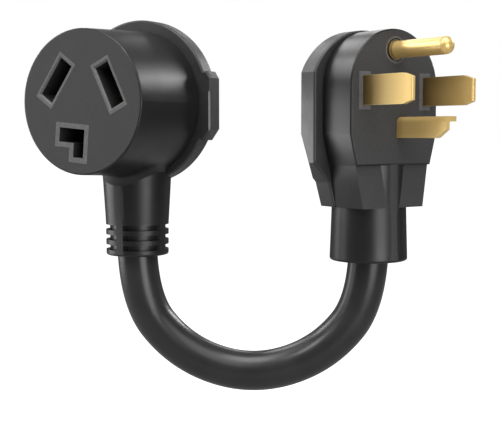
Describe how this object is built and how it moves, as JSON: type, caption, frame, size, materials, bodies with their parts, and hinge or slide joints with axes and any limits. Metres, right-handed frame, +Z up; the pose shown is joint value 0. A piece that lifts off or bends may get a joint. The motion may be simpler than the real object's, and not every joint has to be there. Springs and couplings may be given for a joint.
{
  "type": "plug-to-connector adapter cord",
  "caption": "Short heavy adapter cord: a moulded blade plug with a round ground pin on one end and a round slotted connector on the other, joined by a thick cord bent in a U.",
  "frame": {"origin": "centre of the plug's mating face, midway between its two straight blades", "axes": "+Z up, away from the cord's bend; -Y out of the connector's mating face; +X to the right as that face is looked at, with the plug to the right of the connector"},
  "size_m": [0.156, 0.1012, 0.1443],
  "materials": {
    "black_pvc": "glossy moulded black PVC",
    "grip_pvc": "satin moulded black PVC",
    "slot_insert": "matte moulded dark grey thermoplastic",
    "blade_carrier": "matte moulded grey thermoplastic",
    "inner_mould": "matte black moulding compound",
    "blade_brass": "polished brass",
    "contact_brass": "stamped brass",
    "spring_steel": "brushed spring steel",
    "crimp_copper": "tinned copper alloy",
    "ferrule_steel": "zinc-plated steel",
    "cord_jacket": "glossy black PVC",
    "cord_filler": "matte fibre filler",
    "copper_strand": "bright stranded copper",
    "insulation_black": "smooth black PVC insulation",
    "insulation_red": "smooth red PVC insulation",
    "insulation_white": "smooth white PVC insulation"
  },
  "bodies": {
    "root": {"connector_carrier_cap": "slot_insert", "connector_contact_carrier": "slot_insert", "connector_contact_left": "contact_brass", "connector_contact_neutral": "contact_brass", "connector_contact_right": "contact_brass", "connector_cord_ferrule": "ferrule_steel", "connector_crimp_left": "crimp_copper", "connector_crimp_neutral": "crimp_copper", "connector_crimp_right": "crimp_copper", "connector_inner_mould": "inner_mould", "connector_overmould": "black_pvc", "connector_rear_grip": "grip_pvc", "connector_spring_left": "spring_steel", "connector_spring_neutral": "spring_steel", "connector_spring_right": "spring_steel", "cord_copper_line_a": "copper_strand", "cord_copper_line_b": "copper_strand", "cord_copper_neutral": "copper_strand", "cord_filler": "cord_filler", "cord_insulation_line_a": "insulation_black", "cord_insulation_line_b": "insulation_red", "cord_insulation_neutral": "insulation_white", "cord_jacket": "cord_jacket", "plug_blade_carrier": "blade_carrier", "plug_blade_left": "blade_brass", "plug_blade_neutral": "blade_brass", "plug_blade_right": "blade_brass", "plug_cord_ferrule": "ferrule_steel", "plug_crimp_left": "crimp_copper", "plug_crimp_neutral": "crimp_copper", "plug_crimp_right": "crimp_copper", "plug_ground_pin": "blade_brass", "plug_inner_mould": "inner_mould", "plug_overmould": "black_pvc", "plug_rear_grip": "grip_pvc"}
  },
  "joints": []
}
